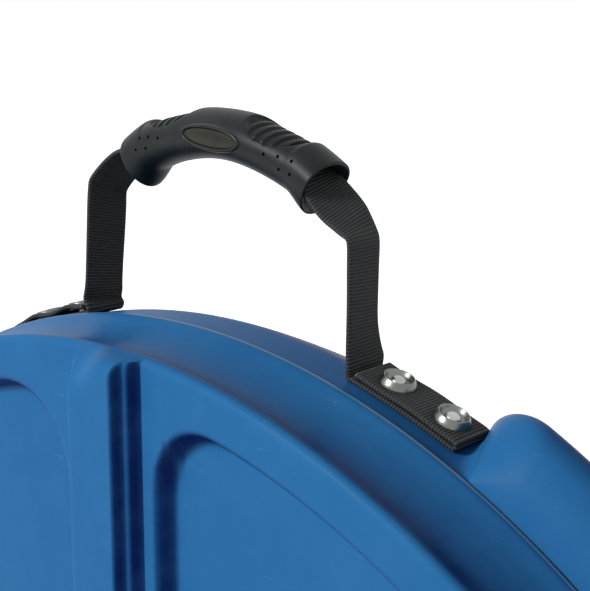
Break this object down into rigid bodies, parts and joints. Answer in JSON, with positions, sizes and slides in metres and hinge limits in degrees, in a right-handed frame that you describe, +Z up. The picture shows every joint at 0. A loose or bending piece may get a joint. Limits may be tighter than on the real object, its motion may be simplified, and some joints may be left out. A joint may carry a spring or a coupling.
{
  "type": "cymbal case",
  "caption": "Round moulded cymbal case on edge, with a side-hinged lid, snap latches, a webbing carry handle with a moulded grip, and a padded inside with a clamping post.",
  "frame": {"origin": "on the floor under the middle of the case, halfway through its thickness", "axes": "+Z up the disc's face, -Y towards the viewer of the front shell, +X to that viewer's right"},
  "size_m": [0.626, 0.142, 0.7154],
  "materials": {
    "shell_plastic": "semi-gloss rotomoulded",
    "foam": "closed-cell foam",
    "webbing": "ribbed woven",
    "grip_rubber": "satin moulded",
    "badge_frame": "raised frame",
    "badge_plate": "smooth bare",
    "dark_nickel": "black nickel",
    "zinc_steel": "zinc plated",
    "latch_plastic": "moulded nylon",
    "sleeve": "soft tube",
    "pad_rubber": "matt"
  },
  "bodies": {
    "case": {"rear_shell": "shell_plastic", "rear_foam_pad": "foam", "post_flange": "zinc_steel", "post_stud": "zinc_steel", "post_sleeve": "sleeve", "post_screws": "zinc_steel", "cup_washers": "dark_nickel", "strap_screws": "dark_nickel", "strap_nuts": "zinc_steel", "backing_plates": "zinc_steel", "strap_foot_left": "webbing", "strap_foot_right": "webbing", "latch_brackets": "latch_plastic", "latch_pins": "zinc_steel", "bracket_rivets": "zinc_steel", "hinge_leaves_rear": "zinc_steel", "hinge_pins": "zinc_steel", "hinge_rivets_rear": "zinc_steel", "standing_pads": "pad_rubber"},
    "lid": {"front_shell": "shell_plastic", "front_foam_pad": "foam", "latch_keepers": "latch_plastic", "keeper_rivets": "zinc_steel", "hinge_leaves_front": "zinc_steel", "hinge_rivets_front": "zinc_steel"},
    "handle": {"grip_body": "grip_rubber", "badge_frame": "badge_frame", "badge_plate": "badge_plate", "strap_core": "webbing", "strap_upright_left": "webbing", "strap_upright_right": "webbing"},
    "latch_upper": {"latch_lever_upper": "latch_plastic"},
    "latch_middle": {"latch_lever_middle": "latch_plastic"},
    "latch_lower": {"latch_lever_lower": "latch_plastic"},
    "clamp": {"clamp_washer": "zinc_steel"},
    "nut": {"wing_nut": "zinc_steel"}
  },
  "joints": [
    {"name": "lid_hinge", "type": "hinge", "parent": "case", "child": "lid", "pos_m": [-0.309, -0.01965, 0.331], "axis": [0, 0, -1], "range_deg": [0, 105]},
    {"name": "handle_swing", "type": "hinge", "parent": "case", "child": "handle", "pos_m": [0, 0, 0.6283], "axis": [1, 0, 0], "range_deg": [-75, 75], "deforming": ["strap_upright_left", "strap_upright_right"]},
    {"name": "latch_upper_lever", "type": "hinge", "parent": "case", "child": "latch_upper", "pos_m": [0.26205, 0.008, 0.49474], "axis": [-0.5299, 0, 0.848], "range_deg": [0, 110]},
    {"name": "latch_middle_lever", "type": "hinge", "parent": "case", "child": "latch_middle", "pos_m": [0.309, 0.008, 0.331], "axis": [0, 0, 1], "range_deg": [0, 110]},
    {"name": "latch_lower_lever", "type": "hinge", "parent": "case", "child": "latch_lower", "pos_m": [0.26205, 0.008, 0.16725], "axis": [0.5299, 0, 0.848], "range_deg": [0, 110]},
    {"name": "clamp_travel", "type": "slide", "parent": "case", "child": "clamp", "axis": [0, -1, 0], "range_m": [0, 0.01]},
    {"name": "nut_spin", "type": "hinge", "parent": "clamp", "child": "nut", "pos_m": [0, -0.015, 0.331], "axis": [0, -1, 0], "range_deg": [0, 2900]}
  ],
  "couplings": [
    {"joint": "nut_spin", "follows": "clamp_travel", "rad_per_m": 5026.5}
  ]
}
